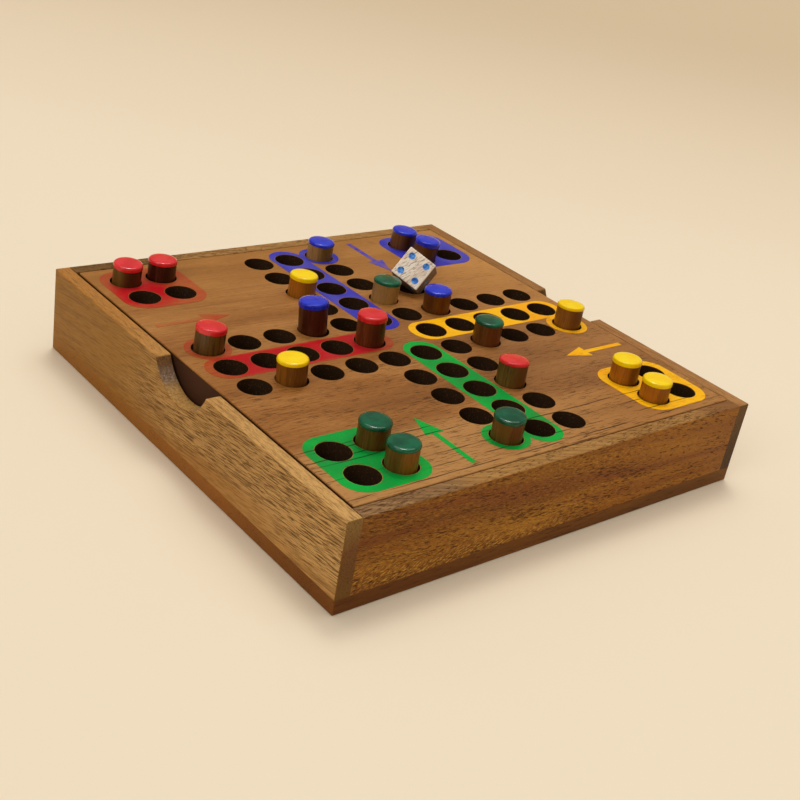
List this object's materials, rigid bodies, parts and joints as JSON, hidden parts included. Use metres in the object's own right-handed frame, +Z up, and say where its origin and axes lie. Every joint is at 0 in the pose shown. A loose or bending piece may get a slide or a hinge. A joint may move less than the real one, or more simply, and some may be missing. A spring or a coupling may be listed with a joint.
{
  "type": "travel ludo board box",
  "caption": "Square wooden ludo set: a drilled peg board lifts by two finger notches out of a shallow storage tray, with painted pegs and a die.",
  "frame": {"origin": "centre of the tray underside, on the surface it stands on", "axes": "+Z up; +X from the red side to the yellow side; +Y from the green side to the blue side"},
  "size_m": [0.1808, 0.18, 0.0489],
  "materials": {
    "base_wood": "dark reddish-brown hardwood, satin oil",
    "wall_wood": "golden-brown hardwood with dark streaks, satin oil",
    "cleat_wood": "plain sawn hardwood",
    "board_wood": "mid-brown hardwood with fine open pores, satin",
    "print_red": "screen-printed ink on wood",
    "print_blue": "screen-printed ink on wood",
    "print_yellow": "screen-printed ink on wood",
    "print_green": "screen-printed ink on wood",
    "peg_wood": "turned dowel, sanded",
    "paint_red": "dipped gloss paint",
    "paint_blue": "dipped gloss paint",
    "paint_yellow": "dipped gloss paint",
    "paint_green": "dipped gloss paint",
    "die_wood": "pale sanded hardwood with grey grain",
    "pip_paint": "sky-blue paint in drilled pips"
  },
  "bodies": {
    "tray": {"base_panel": "base_wood", "left_wall": "wall_wood", "right_wall": "wall_wood", "front_wall": "wall_wood", "back_wall": "wall_wood", "front_cleat": "cleat_wood", "back_cleat": "cleat_wood"},
    "lid": {"board_lid": "board_wood", "print_red": "print_red", "print_blue": "print_blue", "print_yellow": "print_yellow", "print_green": "print_green"},
    "red_peg_1": {"peg_red_1": "peg_wood", "paint_red_1": "paint_red"},
    "red_peg_2": {"peg_red_2": "peg_wood", "paint_red_2": "paint_red"},
    "red_peg_3": {"peg_red_3": "peg_wood", "paint_red_3": "paint_red"},
    "red_peg_4": {"peg_red_4": "peg_wood", "paint_red_4": "paint_red"},
    "red_peg_5": {"peg_red_5": "peg_wood", "paint_red_5": "paint_red"},
    "blue_peg_1": {"peg_blue_1": "peg_wood", "paint_blue_1": "paint_blue"},
    "blue_peg_2": {"peg_blue_2": "peg_wood", "paint_blue_2": "paint_blue"},
    "blue_peg_3": {"peg_blue_3": "peg_wood", "paint_blue_3": "paint_blue"},
    "blue_peg_4": {"peg_blue_4": "peg_wood", "paint_blue_4": "paint_blue"},
    "blue_peg_5": {"peg_blue_5": "peg_wood", "paint_blue_5": "paint_blue"},
    "yellow_peg_1": {"peg_yellow_1": "peg_wood", "paint_yellow_1": "paint_yellow"},
    "yellow_peg_2": {"peg_yellow_2": "peg_wood", "paint_yellow_2": "paint_yellow"},
    "yellow_peg_3": {"peg_yellow_3": "peg_wood", "paint_yellow_3": "paint_yellow"},
    "yellow_peg_4": {"peg_yellow_4": "peg_wood", "paint_yellow_4": "paint_yellow"},
    "yellow_peg_5": {"peg_yellow_5": "peg_wood", "paint_yellow_5": "paint_yellow"},
    "green_peg_1": {"peg_green_1": "peg_wood", "paint_green_1": "paint_green"},
    "green_peg_2": {"peg_green_2": "peg_wood", "paint_green_2": "paint_green"},
    "green_peg_3": {"peg_green_3": "peg_wood", "paint_green_3": "paint_green"},
    "green_peg_4": {"peg_green_4": "peg_wood", "paint_green_4": "paint_green"},
    "green_peg_5": {"peg_green_5": "peg_wood", "paint_green_5": "paint_green"},
    "die": {"die": "die_wood", "die_pips": "pip_paint"}
  },
  "joints": [
    {"name": "lid_lift", "type": "slide", "parent": "tray", "child": "lid", "axis": [0, 0, 1], "range_m": [0, 0.045]},
    {"name": "red_peg_1_lift", "type": "slide", "parent": "lid", "child": "red_peg_1", "axis": [0, 0, 1], "range_m": [0, 0.03]},
    {"name": "red_peg_2_lift", "type": "slide", "parent": "lid", "child": "red_peg_2", "axis": [0, 0, 1], "range_m": [0, 0.03]},
    {"name": "red_peg_3_lift", "type": "slide", "parent": "lid", "child": "red_peg_3", "axis": [0, 0, 1], "range_m": [0, 0.03]},
    {"name": "red_peg_4_lift", "type": "slide", "parent": "lid", "child": "red_peg_4", "axis": [0, 0, 1], "range_m": [0, 0.03]},
    {"name": "red_peg_5_lift", "type": "slide", "parent": "lid", "child": "red_peg_5", "axis": [0, 0, 1], "range_m": [0, 0.03]},
    {"name": "blue_peg_1_lift", "type": "slide", "parent": "lid", "child": "blue_peg_1", "axis": [0, 0, 1], "range_m": [0, 0.03]},
    {"name": "blue_peg_2_lift", "type": "slide", "parent": "lid", "child": "blue_peg_2", "axis": [0, 0, 1], "range_m": [0, 0.03]},
    {"name": "blue_peg_3_lift", "type": "slide", "parent": "lid", "child": "blue_peg_3", "axis": [0, 0, 1], "range_m": [0, 0.03]},
    {"name": "blue_peg_4_lift", "type": "slide", "parent": "lid", "child": "blue_peg_4", "axis": [0, 0, 1], "range_m": [0, 0.03]},
    {"name": "blue_peg_5_lift", "type": "slide", "parent": "lid", "child": "blue_peg_5", "axis": [0, 0, 1], "range_m": [0, 0.03]},
    {"name": "yellow_peg_1_lift", "type": "slide", "parent": "lid", "child": "yellow_peg_1", "axis": [0, 0, 1], "range_m": [0, 0.03]},
    {"name": "yellow_peg_2_lift", "type": "slide", "parent": "lid", "child": "yellow_peg_2", "axis": [0, 0, 1], "range_m": [0, 0.03]},
    {"name": "yellow_peg_3_lift", "type": "slide", "parent": "lid", "child": "yellow_peg_3", "axis": [0, 0, 1], "range_m": [0, 0.03]},
    {"name": "yellow_peg_4_lift", "type": "slide", "parent": "lid", "child": "yellow_peg_4", "axis": [0, 0, 1], "range_m": [0, 0.03]},
    {"name": "yellow_peg_5_lift", "type": "slide", "parent": "lid", "child": "yellow_peg_5", "axis": [0, 0, 1], "range_m": [0, 0.03]},
    {"name": "green_peg_1_lift", "type": "slide", "parent": "lid", "child": "green_peg_1", "axis": [0, 0, 1], "range_m": [0, 0.03]},
    {"name": "green_peg_2_lift", "type": "slide", "parent": "lid", "child": "green_peg_2", "axis": [0, 0, 1], "range_m": [0, 0.03]},
    {"name": "green_peg_3_lift", "type": "slide", "parent": "lid", "child": "green_peg_3", "axis": [0, 0, 1], "range_m": [0, 0.03]},
    {"name": "green_peg_4_lift", "type": "slide", "parent": "lid", "child": "green_peg_4", "axis": [0, 0, 1], "range_m": [0, 0.03]},
    {"name": "green_peg_5_lift", "type": "slide", "parent": "lid", "child": "green_peg_5", "axis": [0, 0, 1], "range_m": [0, 0.03]},
    {"name": "die_lift", "type": "slide", "parent": "lid", "child": "die", "axis": [0, 0, 1], "range_m": [0, 0.03]}
  ]
}
